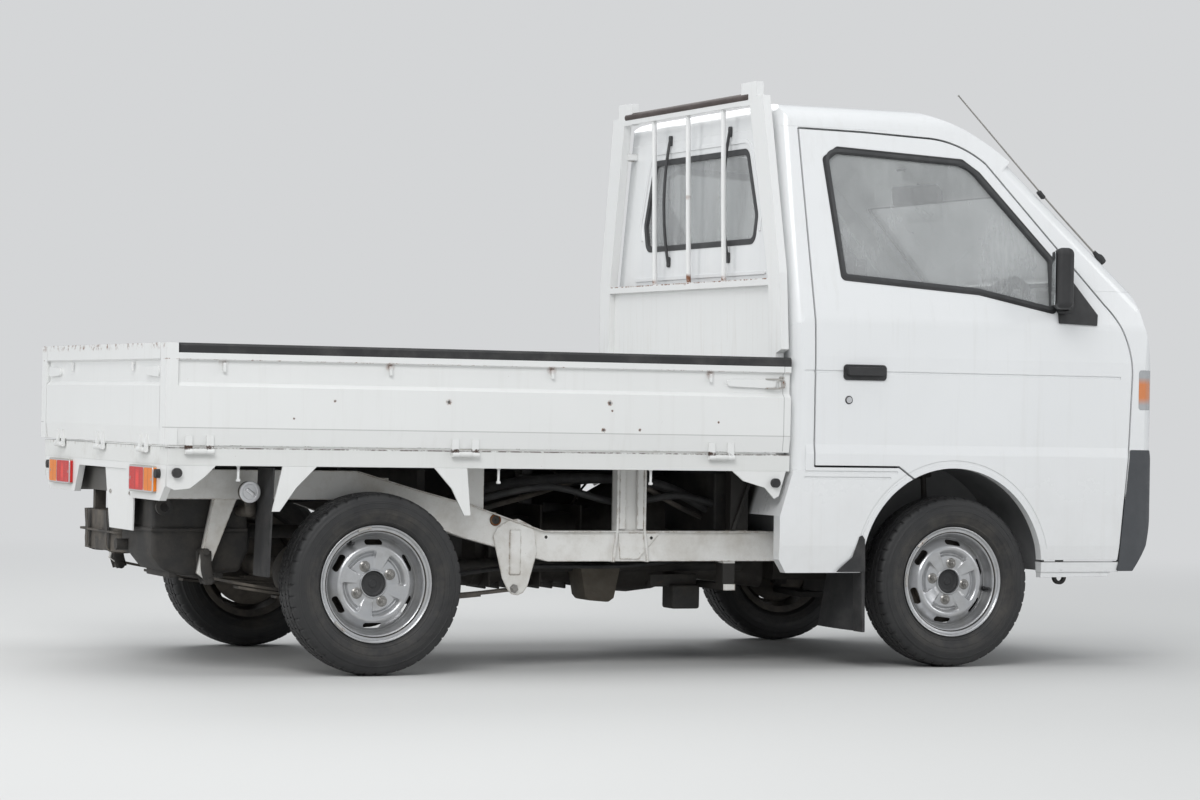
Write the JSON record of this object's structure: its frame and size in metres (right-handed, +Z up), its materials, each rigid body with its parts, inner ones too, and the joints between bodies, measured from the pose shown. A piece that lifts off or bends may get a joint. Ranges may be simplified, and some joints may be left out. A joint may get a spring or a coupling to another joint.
{
  "type": "kei truck",
  "caption": "Small cab-over pickup truck with a drop-side bed, steel wheels and right-hand drive; doors, gates, wheels and steering move.",
  "frame": {"origin": "on the ground at the centre of the overall box", "axes": "+X forward, +Y to the left side, +Z up"},
  "size_m": [3.295, 1.635, 1.8033],
  "materials": {
    "cab_white": "glossy white paint",
    "bed_white": "worn white paint with rust at seams",
    "chassis_white": "dirty white paint with road dirt",
    "cab_inner": "painted sheet under dust",
    "black_rubber": "matt black rubber",
    "tyre": "worn road tyre",
    "wheel_silver": "silver paint",
    "window_glass": "clear glass",
    "black_plastic": "moulded black plastic",
    "bumper_grey": "grained dark grey plastic",
    "lamp_red": "red and amber lens",
    "lamp_clear": "clear lens",
    "seat_vinyl": "grey vinyl",
    "dark_steel": "black painted steel with dirt",
    "engine_metal": "dull cast alloy"
  },
  "bodies": {
    "root": {"bed_deck": "bed_white", "bed_skirts": "bed_white", "cab_back": "cab_white", "cab_floor": "cab_inner", "cab_nose": "cab_white", "cab_roof": "cab_white", "dashboard": "black_plastic", "engine_block": "engine_metal", "exhaust": "dark_steel", "frame_rails": "chassis_white", "front_bumper": "bumper_grey", "front_indicators": "lamp_clear", "front_suspension": "dark_steel", "fuel_tank": "dark_steel", "gate_stops": "black_rubber", "gear_levers": "black_plastic", "glazing_seals": "black_rubber", "guard_frame": "bed_white", "headlamps": "lamp_clear", "leaf_springs": "dark_steel", "mud_flaps": "black_rubber", "propeller_shaft": "dark_steel", "rear_axle": "dark_steel", "rear_lamp_panel": "bed_white", "rear_window": "window_glass", "seats": "seat_vinyl", "steering_wheel": "black_plastic", "tail_lamps": "lamp_red", "tow_eyes": "dark_steel", "window_guards": "dark_steel", "windscreen": "window_glass"},
    "wheel_rear_right": {"tyre_rear_right": "tyre", "rim_rear_right": "wheel_silver"},
    "wheel_rear_left": {"tyre_rear_left": "tyre", "rim_rear_left": "wheel_silver"},
    "knuckle_right": {"knuckle_right": "dark_steel"},
    "knuckle_left": {"knuckle_left": "dark_steel"},
    "wheel_front_right": {"tyre_front_right": "tyre", "rim_front_right": "wheel_silver"},
    "wheel_front_left": {"tyre_front_left": "tyre", "rim_front_left": "wheel_silver"},
    "door_right": {"door_right": "cab_white", "door_glass_right": "window_glass", "door_trim_right": "black_plastic"},
    "door_left": {"door_left": "cab_white", "door_glass_left": "window_glass", "door_trim_left": "black_plastic"},
    "gate_right": {"gate_right": "bed_white", "gate_rubber_right": "black_rubber"},
    "gate_left": {"gate_left": "bed_white", "gate_rubber_left": "black_rubber"},
    "tailgate": {"tailgate": "bed_white"}
  },
  "joints": [
    {"name": "spin_rear_right", "type": "hinge", "parent": "root", "child": "wheel_rear_right", "pos_m": [-0.9855, -0.5975, 0.266], "axis": [0, 1, 0], "continuous": true},
    {"name": "spin_rear_left", "type": "hinge", "parent": "root", "child": "wheel_rear_left", "pos_m": [-0.9855, 0.5975, 0.266], "axis": [0, 1, 0], "continuous": true},
    {"name": "steer_right", "type": "hinge", "parent": "root", "child": "knuckle_right", "pos_m": [0.9195, -0.562, 0.185], "axis": [0, 0.2497, 0.9683], "range_deg": [-32, 32]},
    {"name": "steer_left", "type": "hinge", "parent": "root", "child": "knuckle_left", "pos_m": [0.9195, 0.562, 0.185], "axis": [0, -0.2497, 0.9683], "range_deg": [-32, 32]},
    {"name": "spin_front_right", "type": "hinge", "parent": "knuckle_right", "child": "wheel_front_right", "pos_m": [0.9195, -0.5975, 0.266], "axis": [0, 1, 0], "continuous": true},
    {"name": "spin_front_left", "type": "hinge", "parent": "knuckle_left", "child": "wheel_front_left", "pos_m": [0.9195, 0.5975, 0.266], "axis": [0, 1, 0], "continuous": true},
    {"name": "door_right_hinge", "type": "hinge", "parent": "root", "child": "door_right", "pos_m": [1.534, -0.6975, 0.9], "axis": [0, 0, 1], "range_deg": [0, 65]},
    {"name": "door_left_hinge", "type": "hinge", "parent": "root", "child": "door_left", "pos_m": [1.534, 0.6975, 0.9], "axis": [0, 0, -1], "range_deg": [0, 65]},
    {"name": "gate_right_hinge", "type": "hinge", "parent": "root", "child": "gate_right", "pos_m": [-0.65, -0.6975, 0.645], "axis": [1, 0, 0], "range_deg": [0, 172]},
    {"name": "gate_left_hinge", "type": "hinge", "parent": "root", "child": "gate_left", "pos_m": [-0.65, 0.6975, 0.645], "axis": [-1, 0, 0], "range_deg": [0, 172]},
    {"name": "tailgate_hinge", "type": "hinge", "parent": "root", "child": "tailgate", "pos_m": [-1.6395, 0, 0.645], "axis": [0, -1, 0], "range_deg": [0, 172]}
  ],
  "couplings": [
    {"joint": "steer_left", "follows": "steer_right", "ratio": 1}
  ]
}
